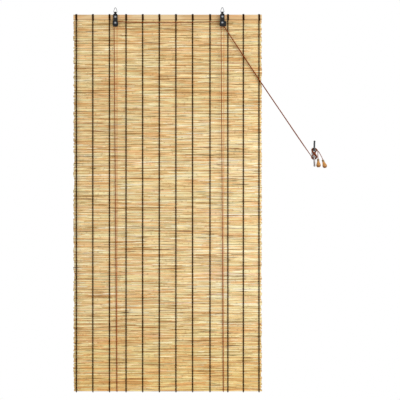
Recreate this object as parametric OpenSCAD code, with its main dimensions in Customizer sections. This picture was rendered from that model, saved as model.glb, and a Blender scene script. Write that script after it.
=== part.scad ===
// Reed roll-up blind on two pulley hangers, with its cords tied off on a wall cleat.
// X runs to the right as seen from the front, Y towards the wall and Z up.
// The origin is the point where the left hanging ring bears on its hook.

/* [Mat] */
// Width of the mat
mat_w = 600; // [480:1:900]
// Height from the batten's top edge down to the lowest reed
mat_drop = 1200; // [700:1:1500]
// Diameter of one reed
reed_d = 5.3; // [4.4:0.1:6.2]
// How far neighbouring reeds press into each other
reed_press = 0.22; // [0.16:0.01:0.4]
// Open gap between two bundles of reeds
bundle_gap = 0.8; // [0.5:0.1:1.2]

/* [Head batten] */
// Height of the batten
batten_h = 17; // [16:0.5:26]
// Thickness of the batten
batten_t = 9; // [8:0.5:14]
// Rounding of the batten's long edges
batten_edge = 2.5; // [1:0.1:3.5]

/* [Weave] */
// Number of weave cords
weave_lines = 12; // [8:1:16]
// Distance from the mat's side edge to the outermost weave cord
weave_edge = 9; // [6:0.5:20]
// Width of a weave cord where it lies on the reeds
weave_w = 4.2; // [3:0.1:5]
// Thickness of a weave cord where it lies on the reeds
weave_t = 1.6; // [1:0.1:2.2]
// Width of the winding round the batten
wrap_w = 5.8; // [4.5:0.1:7]
// Thickness of the winding round the batten
wrap_t = 2; // [1.2:0.1:2.6]
// Diameter of the knot below the mat
weave_knot_d = 3.6; // [3:0.1:6]
// How far the weave strays to the right beside the right hanger
weave_stray = 6.8; // [0:0.1:8]

/* [Hangers] */
// Distance from the left hanger to the right hanger
hanger_span = 340; // [300:1:420]
// Distance from the mat's left edge to the left hanger
hanger_inset = 134; // [110:1:150]
// Thickness of the strap's sheet steel
strap_t = 1.2; // [0.8:0.1:1.6]
// Width of the strap where it folds round the ring
neck_w = 7; // [5:0.1:7]
// Height of the neck above the shoulders
neck_h = 7.2; // [7:0.1:9]
// Width of the strap at the shoulders
shoulder_w = 14; // [11:0.1:16]
// Width of the strap's cheeks beside the sheave
cheek_w = 17; // [14:0.1:19]
// How far the cheeks reach below the axle
cheek_drop = 11.1; // [10.5:0.1:15]
// Distance from the shoulders down to the fixing screw
screw_inset = 9.6; // [7:0.1:11]
// Distance from the fixing screw down to the axle
axle_drop = 18.9; // [17:0.1:22]
// Height of the batten's top edge above the fixing screw
batten_rise = 8.4; // [6:0.1:9]
// Diameter of the fixing screw
screw_d = 3.5; // [3:0.1:4]
// Depth of the fixing screw in the batten
screw_bite = 7; // [5:0.1:7.5]
// Diameter of the axle rivet
axle_d = 3; // [2.4:0.1:3.4]
// Diameter of the domed heads
head_d = 7.2; // [6:0.1:8]
// Height of the domed heads
head_h = 1.7; // [1:0.1:2.4]
// Outer diameter of the spacer sleeve
spacer_d = 6.4; // [5:0.1:8]
// Distance of the staple to the right of its hanger
staple_x = 5; // [0:0.5:8]

/* [Hanging rings] */
// Diameter of the ring wire
ring_wire_d = 2; // [1.6:0.1:2.4]
// Width of the ring between the middles of its wire
ring_w = 11; // [10.8:0.1:13]
// Height of the ring between the middles of its wire
ring_h = 14.9; // [13:0.1:20]
// Bend of the ring's corners, to the middle of the wire
ring_bend = 2.4; // [2.2:0.1:2.6]

/* [Sheaves and lock] */
// Width of a sheave
sheave_w = 5; // [4.6:0.1:6]
// Diameter over a sheave's flanges
sheave_d = 12; // [11:0.1:13]
// Distance from the axle to the middle of the cord on a sheave
pitch_r = 4.2; // [4:0.1:4.6]
// Distance of the lock's pin to the right of the axle
lock_pin_x = 9.4; // [9.2:0.1:9.8]
// Depth of the lock's pin below the axle
lock_pin_drop = 7.7; // [7:0.1:8.2]
// Diameter of the lock's pin
lock_pin_d = 2; // [1.6:0.1:2.2]
// How far the cam's round body sits off its pin
cam_offset = 0.5; // [0.4:0.05:0.6]
// Reach of the lock's side tab to the right of the axle
tab_reach = 12.8; // [12.6:0.1:14]
// Height of the side tab above the axle
tab_rise = 4.6; // [3.6:0.1:6]

/* [Cords and pulls] */
// Diameter of the lift and pull cords
cord_d = 2.4; // [2:0.1:2.6]
// Angle of the pull cords below level
pull_angle = 57; // [54:1:60]
// Sag of the cord that runs across between the hangers
cross_sag = 3; // [1:0.5:6]
// Height of a wooden pull
pull_h = 27.6; // [24:0.1:32]
// Largest diameter of a wooden pull
pull_d = 14.6; // [12:0.1:15.4]
// Diameter of a wooden pull's neck
pull_neck_d = 7.6; // [6.6:0.1:9]

/* [Cleat] */
// Distance of the cleat to the right of the right hanger
cleat_right = 292; // [280:1:320]
// Depth of the cleat's middle below the hanging point
cleat_drop = 463; // [440:1:480]
// Length over the cleat's two horns
cleat_l = 83; // [76:1:95]
// Depth of the cleat from the wall to its front face
cleat_depth = 24; // [23:0.5:26]
// Width of the cleat's post
post_w = 11; // [9:0.1:11]
// Height of the cleat's post
post_h = 28; // [24:0.1:28]
// Diameter of a horn
horn_d = 5.6; // [5:0.1:6]
// Radius of the horns' forward curve
horn_bend = 90; // [80:1:140]
// Diameter of a screw hole through the post
hole_d = 4.2; // [3.4:0.1:4.6]
// Distance between the two screw holes
hole_span = 15; // [12:0.1:17]

/* [Hidden] */
$fn = 48;
// Running clearance of a sheave or cam on its pin
run_play = 0.06;
// Clearance of a rivet or screw in its hole
hole_play = 0.04;
// Clearance at each side of a sheave or cam
side_play = 0.4;
// Clearance of a cord from what it passes
cord_play = 0.3;
// Clearance of a weave cord from the batten and the reeds
lay_gap = 0.15;
// Clearance of a weave cord's winding from a hanger
weave_clear = 1.6;
// Clearance of the ring's wire under the fold
ring_seat = 0.3;
// How far the ring's straight stretches run into its bends, drawn that much thinner
ring_lap = 0.3;
ring_straight_d = ring_wire_d - 0.06;

// Heights, from the hanging point down
ring_base_z = ring_wire_d / 2 - ring_h;
fold_top = ring_base_z + ring_wire_d / 2 + ring_seat + strap_t;
shoulder_z = fold_top - neck_h;
screw_z = shoulder_z - screw_inset;
axle_z = screw_z - axle_drop;
cheek_bottom = axle_z - cheek_drop;
lobe_top = axle_z + 7;
batten_top = screw_z + batten_rise;
batten_mid = batten_top - batten_h / 2;
batten_bottom = batten_top - batten_h;
reed_top = batten_bottom - wrap_t - 2 * lay_gap;
mat_bottom = batten_top - mat_drop;

// Depths, from the left ring towards the wall
single_gap = sheave_w + 2 * side_play;
double_gap = 2 * sheave_w + 3 * side_play;
batten_front = single_gap / 2 + strap_t;
batten_back = batten_front + batten_t;
mat_y = batten_front + batten_t / 2;
right_y = batten_front - strap_t - double_gap / 2;
front_sheave_y = -(sheave_w + side_play);
wall_y = mat_y + 10;

// Reeds and weave
mat_left = -hanger_inset;
reed_zone = reed_top - mat_bottom;
reeds = 2 * round(reed_zone / (2 * (reed_d - reed_press)));
reed_pitch = (reed_zone - reed_d) / (reeds - 1);
last_reed_z = mat_bottom + reed_d / 2;
weave_pitch = (mat_w - 2 * weave_edge) / (weave_lines - 1);
strand_in = reed_d / 2 + lay_gap;
strand_out = strand_in + weave_t;
// The stray is greatest at the weave cord nearest the right hanger's side tab
stray_x = hanger_span + 13;
stray_width = 58;

function reed_z(i) = reed_top - reed_d / 2 - i * reed_pitch;
function even_weave_x(i) = mat_left + weave_edge + i * weave_pitch;
function strayed_x(i) =
    even_weave_x(i) + weave_stray * exp(-pow((even_weave_x(i) - stray_x) / stray_width, 2));
// A weave cord that would run into a hanger steps aside to its nearer edge
function beside(x, hanger_x, right_reach) =
    let (
        low = hanger_x - cheek_w / 2 - wrap_w / 2 - weave_clear,
        high = hanger_x + right_reach + wrap_w / 2 + weave_clear
    ) x <= low || x >= high ? x : x < hanger_x ? low : high;
function weave_x(i) =
    let (past_left = beside(strayed_x(i), 0, max(staple_reach, cheek_w / 2)))
    beside(past_left, hanger_span, max(staple_reach, tab_reach));

// Hanger details
shoulder_r = 3;
lobe_r = 5;
tab_r = 3.5;
rear_head_h = 1;
rear_head_d = 5.2;
screw_tip_h = 3;
pin_head_d = 4;
pin_head_h = 0.8;

// Sheave, cam and cord sizes that follow from the fits
cord_r = cord_d / 2;
groove_r = cord_r + cord_play;
groove_flare = 0.4;
lock_pin = [lock_pin_x, -lock_pin_drop];
cam_middle = lock_pin - [cam_offset, 0];
cam_turn_r = cam_middle.x - pitch_r;
cam_r = cam_turn_r - cord_r - cord_play;
cam_tooth = 0.5;

// Staple and knots
staple_d = 1.6;
staple_leg = 6;
staple_z = batten_top - 12.5;
staple_y = batten_back + cord_play + cord_r;
staple_r = cord_r + cord_play + staple_d / 2;
staple_reach = staple_x + staple_r + staple_d / 2;
knot_r = 2.4;
knot_y = batten_back + cord_play + knot_r;

// Wooden pull
pull_bulb_r = pull_d / 2;
pull_neck_h = 7.5;
pull_recess_h = 7;
pull_recess_r = knot_r + 0.8;
pull_bore_r = cord_r + cord_play;

// Cleat
post_front = wall_y - cleat_depth;
post_end = post_h / 2 - post_w / 2;
post_edge = 2;
base_w = 13;
base_h = 34;
base_t = 3;
horn_y = post_front + horn_d / 2;
horn_tip_d = horn_d + 0.8;
horn_reach = cleat_l / 2 - horn_tip_d / 2;
sink_d = 7.6;
sink_h = 2;
cleat_at = [hanger_span + cleat_right, 0, -cleat_drop];

// Routes of the free cords from the lock, round the cleat and down to the pulls,
// as steps right, towards the wall and up from the middle of the cleat
left_route = [
    [-285.4, 0, 403.1], [-233.4, 1.1, 323], [-166.9, 2.5, 223], [-98.9, 3.9, 123], [-32, 5.2, 25],
    [-12.4, 5.7, -2.4], [-9.2, 5.8, -7.3],
    [-5.7, 6, -12.9], [-1.1, 6.2, -16], [3.7, 4.6, -14.8], [6.7, 1.2, -11.2],
    [7.3, -2.4, -7.2], [6, -6, -3.6], [2.8, -7.1, -0.4], [-1, -7.1, 3], [-4.4, -7, 6.2],
    [-7.2, -3.8, 9.2], [-6.4, 0.2, 12.6], [-2.8, 2.8, 15.4], [2, 2.9, 15.4], [5.9, 0.6, 12.8],
    [7.3, -3.2, 9.2], [5.6, -7.6, 6.2], [2.2, -9.8, 2.6], [-1.8, -9.8, -1.6], [-5.6, -8.8, -5.4],
    [-8.6, -5.8, -9.4], [-8.2, -2, -13.8], [-4.2, 0.4, -17.2], [1.2, 0.4, -18], [6, -1.4, -15.6],
    [8.8, -4.8, -11.4], [7.4, -9, -7], [3.8, -11.8, -2.8], [-0.6, -12.5, 1.8], [-5, -11, 6.2],
    [-8.6, -7.2, 10.2], [-7.8, -2.8, 14.4], [-3.4, 0.2, 17.6], [2.2, 0.6, 18], [7.2, 0, 15.4],
    [10.4, -1, 10.8], [11.6, -2, 5], [11.6, -2.6, -2], [11.7, -3, -9], [12.2, -3, -16.6]
];
right_route = [
    [-285.4, -5.4, 403.1], [-232.8, -3.8, 323.4], [-166.3, -1.8, 223.4], [-98.3, 0.2, 123.4],
    [-31.4, 2.2, 25.4], [-12.4, 3, -2.4], [-9.2, 3.2, -7.3],
    [-5.7, 3.4, -12.9], [-1.1, 3.6, -16], [3.7, 1.6, -14.8], [6.5, -1.8, -11.6],
    [6.3, -5.5, -8.4], [3.4, -7.1, -5.4], [0, -7.1, -2], [-3.6, -7.1, 1.2], [-6.8, -5, 4.6],
    [-7.3, -1, 8.2], [-6.4, 3, 11.8], [-3.4, 5.4, 14.8], [1.2, 5.8, 15.6], [5.8, 5, 13.8],
    [10, 3.8, 10.8], [13.8, 2.4, 7], [17, 1, 2.6], [19.8, 0, -2.4], [22.5, -1.2, -7.8],
    [25, -2.2, -13.4], [27, -3, -19.6]
];

// Where the left and right hangers' pieces stand
left_at = [0, 0, 0];
right_at = [hanger_span, right_y, 0];

// A flat shape drawn in depth and height, extruded along X about the middle
module along_x(length) {
    rotate([90, 0, 90]) linear_extrude(length, center = true) children();
}

// A flat shape drawn in width and height, extruded along Y about the middle
module along_y(length) {
    rotate([90, 0, 0]) linear_extrude(length, center = true) children();
}

// A solid of revolution drawn along Z, turned to point towards the wall
module to_wall(y = 0) {
    translate([0, y, 0]) rotate([-90, 0, 0]) children();
}

// A solid of revolution drawn along Z, turned to point out of the front
module to_front(y = 0) {
    translate([0, y, 0]) rotate([90, 0, 0]) children();
}

// Rectangle with round corners about its middle
module rounded_rect(size, r) {
    square([size.x - 2 * r, size.y], center = true);
    square([size.x, size.y - 2 * r], center = true);
    for (x = [-1, 1], y = [-1, 1])
        translate([x * (size.x / 2 - r), y * (size.y / 2 - r)]) circle(r);
}

// Rectangle with round corners between two heights
module column(w, low, high, r) {
    translate([0, (low + high) / 2]) rounded_rect([w, high - low], r);
}

// Two round ends joined by straight sides, upright
module stadium(w, h) {
    square([w, h - w], center = true);
    for (z = [-1, 1]) translate([0, z * (h - w) / 2]) circle(d = w);
}

// Low dome that stands on the ground plane
module dome(d, h) {
    ball_r = (d * d / 4 + h * h) / (2 * h);
    rotate_extrude() intersection() {
        translate([0, h - ball_r]) circle(ball_r, $fn = 96);
        square([d / 2, h]);
    }
}

function unit(v) = v / norm(v);
// Directions along a path, each the mean of the two stretches that meet there
function directions(path) = [for (i = [0:len(path) - 1])
    let (
        before = path[i] - path[max(i - 1, 0)],
        after = path[min(i + 1, len(path) - 1)] - path[i]
    ) unit((norm(before) > 0 ? unit(before) : [0, 0, 0]) + (norm(after) > 0 ? unit(after) : [0, 0, 0]))];
function square_to(v, t) = unit(v - (v * t) * t);

// Tube along a path, with a radius at each point
module tube(path, radii, sides = 8) {
    t = directions(path);
    n = len(path);
    side = [for (i = 0, v = square_to([1, 1, 0], t[0]); i < n;
        i = i + 1, v = square_to(v, t[min(i, n - 1)])) v];
    points = [for (i = [0:n - 1], k = [0:sides - 1])
        let (a = 360 * k / sides)
            path[i] + radii[i] * (cos(a) * side[i] + sin(a) * cross(t[i], side[i]))];
    walls = [for (i = [0:n - 2], k = [0:sides - 1])
        let (next = (k + 1) % sides)
            [i * sides + k, (i + 1) * sides + k, (i + 1) * sides + next, i * sides + next]];
    start = [for (k = [0:sides - 1]) k];
    end = [for (k = [sides - 1:-1:0]) (n - 1) * sides + k];
    polyhedron(points, concat([start], walls, [end]));
}

// Reeds pressed together in pairs, with an open gap between the pairs
module reed_mat() color("#d4b683") {
    slit_x = weave_x(0);
    slit_w = weave_x(weave_lines - 1) - slit_x;
    difference() {
        translate([mat_left + mat_w / 2, mat_y, 0]) along_x(mat_w)
            for (i = [0:reeds - 1]) translate([0, reed_z(i)]) circle(d = reed_d);
        for (i = [1:2:reeds - 3])
            translate([slit_x, mat_y - reed_d, (reed_z(i) + reed_z(i + 1) - bundle_gap) / 2])
                cube([slit_w, 2 * reed_d, bundle_gap]);
    }
}

// Batten with the holes for the fixing screws and the staples
module head_batten() color("#c39a6b") {
    difference() {
        translate([mat_left + mat_w / 2, mat_y, batten_mid])
            along_x(mat_w) rounded_rect([batten_t, batten_h], batten_edge);
        for (x = [0, hanger_span]) translate([x, 0, 0]) {
            translate([0, 0, screw_z]) to_wall(batten_front - 1)
                cylinder(h = screw_bite + 1 + hole_play, d = screw_d + 2 * hole_play);
            for (s = [-1, 1]) translate([staple_x + s * staple_r, 0, staple_z])
                to_wall(batten_back - staple_leg - hole_play)
                    cylinder(h = staple_leg + 1, d = staple_d + 2 * hole_play);
        }
    }
}

// Weave cord: a winding round the batten, a strand down each face of the reeds and a knot
module weave_cord(i) color("#2f2420") {
    translate([weave_x(i), mat_y, 0]) {
        along_x(wrap_w) translate([0, batten_mid]) difference() {
            wound(lay_gap + wrap_t);
            wound(lay_gap);
        }
        along_x(weave_w) {
            for (s = [-1, 1])
                translate([s * (strand_in + weave_t / 2) - weave_t / 2, last_reed_z])
                    square([weave_t, batten_bottom - lay_gap - wrap_t / 2 - last_reed_z]);
            translate([0, last_reed_z]) difference() {
                circle(strand_out);
                circle(strand_in);
                translate([-strand_out, 0]) square([2 * strand_out, strand_out]);
            }
        }
        translate([0, 0, last_reed_z - strand_in - weave_knot_d / 2]) sphere(d = weave_knot_d);
    }
}

// Section of the batten grown by a margin
module wound(margin) {
    rounded_rect([batten_t + 2 * margin, batten_h + 2 * margin], batten_edge + margin);
}

// Strap of sheet steel: two cheeks joined by a fold over the ring's wire
module strap(gap, with_tab) color("#1c1c1e") {
    intersection() {
        along_x(4 * cheek_w) strap_side(gap);
        along_y(2 * (gap + strap_t)) strap_front(with_tab);
    }
}

// The strap seen from its side
module strap_side(gap) {
    outer = gap / 2 + strap_t;
    fold_z = fold_top - outer;
    for (y = [-outer, gap / 2])
        translate([y, cheek_bottom]) square([strap_t, fold_z - cheek_bottom]);
    translate([0, fold_z]) difference() {
        circle(outer);
        circle(gap / 2);
        translate([-outer, -outer]) square([2 * outer, outer]);
    }
}

// The strap seen from the front, with its holes
module strap_front(with_tab) {
    difference() {
        union() {
            translate([-neck_w / 2, screw_z]) square([neck_w, fold_top - screw_z]);
            column(shoulder_w, axle_z, shoulder_z, shoulder_r);
            column(cheek_w, cheek_bottom, lobe_top, lobe_r);
            if (with_tab)
                translate([tab_reach / 2, 0]) column(tab_reach, cheek_bottom, axle_z + tab_rise, tab_r);
        }
        translate([0, axle_z]) circle(d = axle_d + 2 * hole_play);
        translate([0, screw_z]) circle(d = screw_d + 2 * hole_play);
        if (with_tab)
            translate([0, axle_z] + lock_pin) circle(d = lock_pin_d + 2 * hole_play);
    }
}

// Ring of round wire with a straight foot under the fold and a narrow crown
module hanging_ring() color("#b7babd") {
    half = ring_w / 2 - ring_bend;
    rise = ring_h - 2 * ring_bend;
    lean = atan2(half, rise);
    centres = [[half, 0], [0, rise], [-half, 0]];
    starts = [-90, lean, 180 - lean];
    translate([0, 0, ring_base_z + ring_bend]) rotate([90, 0, 0])
        for (i = [0:2]) {
            here = centres[i];
            there = centres[(i + 1) % 3];
            turn = (starts[(i + 1) % 3] - starts[i] + 360) % 360;
            leave = starts[i] + turn;
            translate(concat(here, 0)) rotate([0, 0, starts[i]])
                rotate_extrude(angle = turn) translate([ring_bend, 0]) circle(d = ring_wire_d);
            translate(concat((here + there) / 2 + ring_bend * [cos(leave), sin(leave)], 0))
                rotate([0, 90, leave + 90])
                    cylinder(h = norm(there - here) + 2 * ring_lap, d = ring_straight_d, center = true);
        }
}

// Grooved wheel on its bore
module sheave() color("#8d8f92") {
    rim = sheave_d / 2;
    half_mouth = groove_r + groove_flare;
    translate([0, 0, axle_z]) to_wall() rotate_extrude() difference() {
        translate([axle_d / 2 + run_play, -sheave_w / 2])
            square([rim - axle_d / 2 - run_play, sheave_w]);
        translate([pitch_r, 0]) circle(groove_r);
        polygon([[pitch_r, -groove_r], [rim, -half_mouth], [rim, half_mouth], [pitch_r, groove_r]]);
    }
}

// Rivet through both cheeks, domed at the front and flat at the back
module axle(gap) color("#b7babd") {
    outer = gap / 2 + strap_t;
    translate([0, 0, axle_z]) {
        to_wall(-outer) cylinder(h = 2 * outer, d = axle_d);
        to_front(-outer) dome(head_d, head_h);
        to_wall(outer) cylinder(h = rear_head_h, d = rear_head_d);
    }
}

// Screw through both cheeks and the spacer into the batten
module fixing_screw(gap) color("#b7babd") {
    outer = gap / 2 + strap_t;
    shank = 2 * outer + screw_bite - screw_tip_h;
    translate([0, 0, screw_z]) {
        to_front(-outer) dome(head_d, head_h);
        to_wall(-outer) cylinder(h = shank, d = screw_d);
        to_wall(shank - outer) cylinder(h = screw_tip_h, d1 = screw_d, d2 = screw_d / 4);
    }
}

// Sleeve that keeps the cheeks apart on the fixing screw
module spacer(gap) color("#8d8f92") {
    translate([0, 0, screw_z]) to_wall(-gap / 2) difference() {
        cylinder(h = gap, d = spacer_d);
        translate([0, 0, -1]) cylinder(h = gap + 2, d = screw_d + 2 * hole_play);
    }
}

// Wire staple in the back of the batten, over the lift cord
module staple() color("#8d8f92") {
    translate([staple_x, staple_y, staple_z]) {
        rotate_extrude(angle = 180) translate([staple_r, 0]) circle(d = staple_d);
        for (s = [-1, 1]) translate([s * staple_r, 0, 0])
            to_front() cylinder(h = staple_y - batten_back + staple_leg, d = staple_d);
    }
}

// Toothed cam that bears on the cords where they drop from the sheaves
module lock_cam() color("#3a3a3c") {
    translate([0, 0, axle_z]) along_y(double_gap - 2 * side_play) difference() {
        translate(cam_middle) circle(cam_r);
        translate(lock_pin) circle(d = lock_pin_d + 2 * run_play);
        for (a = [120:20:240])
            translate(cam_middle + cam_r * [cos(a), sin(a)])
                rotate(a + 45) square(cam_tooth, center = true);
    }
}

// Pin of the cam, with a low head at each end
module lock_pin() color("#1c1c1e") {
    outer = double_gap / 2 + strap_t;
    translate([lock_pin.x, 0, axle_z + lock_pin.y]) {
        to_wall(-outer) cylinder(h = 2 * outer, d = lock_pin_d);
        to_front(-outer) dome(pin_head_d, pin_head_h);
        to_wall(outer) cylinder(h = pin_head_h, d = pin_head_d);
    }
}

// Points of a lift cord from its knot down the back, under the mat and up to its sheave
function lift_start(x, foot_x, sheave_y) =
    let (turn_r = reed_d / 2 + cord_play + cord_r)
    concat(
        [for (z = [7, 6.2, 2.8]) [x + staple_x, knot_y, staple_z + z]],
        [for (z = [1.6, 0, -2]) [x + staple_x, staple_y, staple_z + z]],
        [for (a = [0:-30:-180]) [foot_x, mat_y + turn_r * cos(a), last_reed_z + turn_r * sin(a)]],
        over_sheave(x, sheave_y, 180, 90)
    );
knot_radii = [cord_r / 2, knot_r, knot_r];

// Points of a cord over a sheave between two angles
function over_sheave(x, y, from, to) = [for (i = [0:3])
    let (a = from + (to - from) * i / 3) [x + pitch_r * cos(a), y, axle_z + pitch_r * sin(a)]];

// Points of a cord that drops from its sheave and bends round the cam's lower side
function past_cam(x, y) = [for (i = [0:3])
    let (a = 180 + (90 - pull_angle) * i / 3)
    [x + cam_middle.x + cam_turn_r * cos(a), y, axle_z + cam_middle.y + cam_turn_r * sin(a)]];

// Points of the run across between the sheaves, on a parabola
function across(from_x, to_x) = [for (f = [0.125:0.125:0.875])
    [from_x + f * (to_x - from_x), 0, axle_z + pitch_r - 4 * cross_sag * f * (1 - f)]];

module held_cord(path) color("#8c4e38") {
    tube(path, concat(knot_radii, [for (i = [len(knot_radii):len(path) - 1]) cord_r]));
}

module left_lift_cord() {
    held_cord(concat(
        lift_start(0, 4.5, 0),
        across(0, hanger_span),
        over_sheave(hanger_span, 0, 90, 0),
        past_cam(hanger_span, 0),
        [cleat_at + left_route[0]]
    ));
}

module right_lift_cord() {
    held_cord(concat(
        lift_start(hanger_span, hanger_span + 3.5, front_sheave_y),
        over_sheave(hanger_span, front_sheave_y, 60, 0),
        past_cam(hanger_span, front_sheave_y),
        [cleat_at + right_route[0]]
    ));
}

// Free cord along its route, through the bore of its pull to a knot in the recess
module pull_cord(route) color("#8c4e38") {
    n = len(route);
    hang = unit(route[n - 1] - route[n - 2]);
    recess = pull_h - pull_recess_h;
    stops = [recess, recess + 1.2, pull_h - 2, pull_h - 1];
    path = [for (p = concat(route, [for (s = stops) route[n - 1] + s * hang])) cleat_at + p];
    tube(path, concat([for (p = route) cord_r], [cord_r, knot_r, knot_r, cord_r / 2]));
}

// Turned pull with a neck, a flared bell and a bore, hung from the end of its cord
module wooden_pull(route) color("#c28b46") {
    n = len(route);
    hang = unit(route[n - 1] - route[n - 2]);
    tip_axis = cross([0, 0, -1], hang);
    translate(cleat_at + route[n - 1]) rotate(a = acos(-hang.z), v = tip_axis) wooden_bell();
}

module wooden_bell() {
    bulb_z = pull_bulb_r - pull_h;
    rotate_extrude() difference() {
        union() {
            translate([0, bulb_z]) intersection() {
                circle(pull_bulb_r);
                translate([0, -pull_bulb_r]) square([pull_bulb_r, 2 * pull_bulb_r]);
            }
            polygon([[0, bulb_z], [pull_bulb_r * cos(15), bulb_z + pull_bulb_r * sin(15)],
                [pull_neck_d / 2 - 0.3, -pull_neck_h], [0, -pull_neck_h]]);
            translate([0, -pull_neck_h]) square([pull_neck_d / 2, pull_neck_h - 1]);
            translate([0, -1.5]) square([pull_neck_d / 2 - 1, 1.5]);
            translate([pull_neck_d / 2 - 1, -1]) circle(1);
        }
        translate([0, -pull_h]) square([pull_bore_r, pull_h]);
        translate([0, -pull_h]) square([pull_recess_r, pull_recess_h]);
    }
}

// Cleat: a foot on the wall, a post with two screw holes and two forward-curving horns
module cleat() color("#6d7073") {
    half_turn = asin(horn_reach / horn_bend);
    translate(cleat_at) difference() {
        union() {
            translate([0, wall_y - base_t / 2, 0]) along_y(base_t) stadium(base_w, base_h);
            translate([0, (wall_y + post_front + post_edge) / 2, 0])
                along_y(cleat_depth - post_edge) stadium(post_w, post_h);
            translate([0, post_front + post_edge / 2, 0])
                along_y(post_edge) stadium(post_w - 2 * post_edge, post_h - 2 * post_edge);
            for (z = [-1, 1]) translate([0, post_front + post_edge, z * post_end])
                to_wall() rotate_extrude() translate([post_w / 2 - post_edge, 0]) circle(post_edge);
            for (s = [-1, 1]) translate([s * (post_w / 2 - post_edge), post_front + post_edge, 0])
                cylinder(h = 2 * post_end, r = post_edge, center = true);
            translate([0, horn_y - horn_bend, 0]) rotate([0, 90, 0]) {
                rotate([0, 0, 90 - half_turn]) rotate_extrude(angle = 2 * half_turn)
                    translate([horn_bend, 0]) circle(d = horn_d);
                for (s = [-1, 1]) rotate([0, 0, 90 + s * half_turn])
                    translate([horn_bend, 0, 0]) sphere(d = horn_tip_d);
            }
        }
        for (s = [-1, 1]) translate([0, 0, s * hole_span / 2]) {
            to_wall(post_front - 1) cylinder(h = cleat_depth + 2, d = hole_d);
            to_wall(post_front) cylinder(h = sink_h, d1 = sink_d, d2 = hole_d);
            to_wall(post_front - 1) cylinder(h = 1, d = sink_d);
        }
    }
}

reed_mat();
head_batten();
for (i = [1:weave_lines]) weave_cord(i - 1);
translate(left_at) strap(single_gap, false);  // left_strap
translate(left_at) hanging_ring();  // left_ring
translate(left_at) sheave();  // left_sheave
translate(left_at) axle(single_gap);  // left_axle
translate(left_at) fixing_screw(single_gap);  // left_screw
translate(left_at) spacer(single_gap);  // left_spacer
staple();  // left_staple
translate(right_at) strap(double_gap, true);  // right_strap
translate(right_at) hanging_ring();  // right_ring
translate([hanger_span, 0, 0]) sheave();  // right_rear_sheave
translate([hanger_span, front_sheave_y, 0]) sheave();  // right_front_sheave
translate(right_at) axle(double_gap);  // right_axle
translate(right_at) fixing_screw(double_gap);  // right_screw
translate(right_at) spacer(double_gap);  // right_spacer
translate([hanger_span, 0, 0]) staple();  // right_staple
translate(right_at) lock_cam();
translate(right_at) lock_pin();
left_lift_cord();
right_lift_cord();
pull_cord(left_route);  // left_pull_cord
pull_cord(right_route);  // right_pull_cord
wooden_pull(left_route);  // left_pull
wooden_pull(right_route);  // right_pull
cleat();
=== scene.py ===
"""Reed roll-up blind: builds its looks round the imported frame.

Sizes are metres, apart from the named places and routes that a comment gives in millimetres.
"""

import math

import bpy
import numpy as np
from bpy.props import FloatProperty, FloatVectorProperty, IntProperty, PointerProperty
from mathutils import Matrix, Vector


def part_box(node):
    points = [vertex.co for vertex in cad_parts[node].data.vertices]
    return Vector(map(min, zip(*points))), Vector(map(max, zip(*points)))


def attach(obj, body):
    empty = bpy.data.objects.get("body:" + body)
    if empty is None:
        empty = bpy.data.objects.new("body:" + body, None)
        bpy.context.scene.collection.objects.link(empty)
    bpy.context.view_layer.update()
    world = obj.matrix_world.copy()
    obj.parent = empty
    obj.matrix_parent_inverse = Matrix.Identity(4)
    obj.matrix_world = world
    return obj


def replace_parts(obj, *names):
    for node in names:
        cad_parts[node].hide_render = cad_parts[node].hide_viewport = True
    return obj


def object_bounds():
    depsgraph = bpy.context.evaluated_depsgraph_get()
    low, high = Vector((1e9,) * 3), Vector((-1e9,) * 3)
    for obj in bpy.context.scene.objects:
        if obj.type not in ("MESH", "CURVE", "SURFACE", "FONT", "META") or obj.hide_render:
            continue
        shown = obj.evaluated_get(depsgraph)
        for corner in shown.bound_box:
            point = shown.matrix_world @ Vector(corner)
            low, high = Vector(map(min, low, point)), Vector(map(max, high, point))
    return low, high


bl_info = {
    "name": "Reed roll-up blind",
    "version": (1, 0, 0),
    "blender": (4, 5, 0),
    "location": "View3D > Sidebar > Blind",
    "description": "Reeds, weave, cords and finishes for a reed roll-up blind",
    "category": "Object",
}

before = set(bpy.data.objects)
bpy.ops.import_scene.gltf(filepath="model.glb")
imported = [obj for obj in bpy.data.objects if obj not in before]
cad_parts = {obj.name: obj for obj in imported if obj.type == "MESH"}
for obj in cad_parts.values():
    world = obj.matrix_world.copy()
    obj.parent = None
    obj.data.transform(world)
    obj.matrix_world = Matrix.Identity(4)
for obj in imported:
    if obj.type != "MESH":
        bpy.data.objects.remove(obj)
CAD_BOX = [[float(v) for v in corner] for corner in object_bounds()]
MM = 0.001
WEAVE_NODES = sorted((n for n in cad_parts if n.startswith("weave_cord_")),
                     key=lambda n: int(n.rsplit("_", 1)[1]))

# Where the hangers, the cleat and the cords' turning points stand, in millimetres
LEFT_X, RIGHT_X = 0.0, 340.0
SHEAVE_Z, PITCH_R = -47.1, 4.2
REAR_Y, FRONT_Y = 0.0, -5.4
STAPLE_X, STAPLE_Z, STAPLE_Y, KNOT_Y = 5.0, -32.3, 14.6, 15.8
LEFT_FOOT, RIGHT_FOOT = 4.5, 3.5
MAT_Y, LAST_REED_Z, TURN_R = 8.6, -1217.15, 4.15
CAM_X, CAM_Z, CAM_TURN_R = 348.9, -54.8, 4.7
CROSS_SAG = 3.0
CLEAT = np.array([632.0, 0.0, -463.0])
PULL_H, PULL_RECESS = 27.6, 7.0

# The knot behind a staple: its steps above the staple and the cord's radius at each, in millimetres
KNOT_STEPS, KNOT_RADII = (7.0, 6.4, 5.6, 4.5, 3.4, 2.8), (0.6, 1.6, 2.3, 2.4, 2.1, 1.3)
HELD_STEPS = (1.6, 0.0, -2.0)

# The knot in a pull: steps from the recess and from the pull's foot, and shares of the cord's radius
RECESS_STEPS, FOOT_STEPS = (0.0, 0.7, 1.4), (-2.4, -1.6, -1.0)
PULL_KNOT_SHARES = (1.0, 1.6, 2.0, 2.0, 1.6, 0.5)

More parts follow.
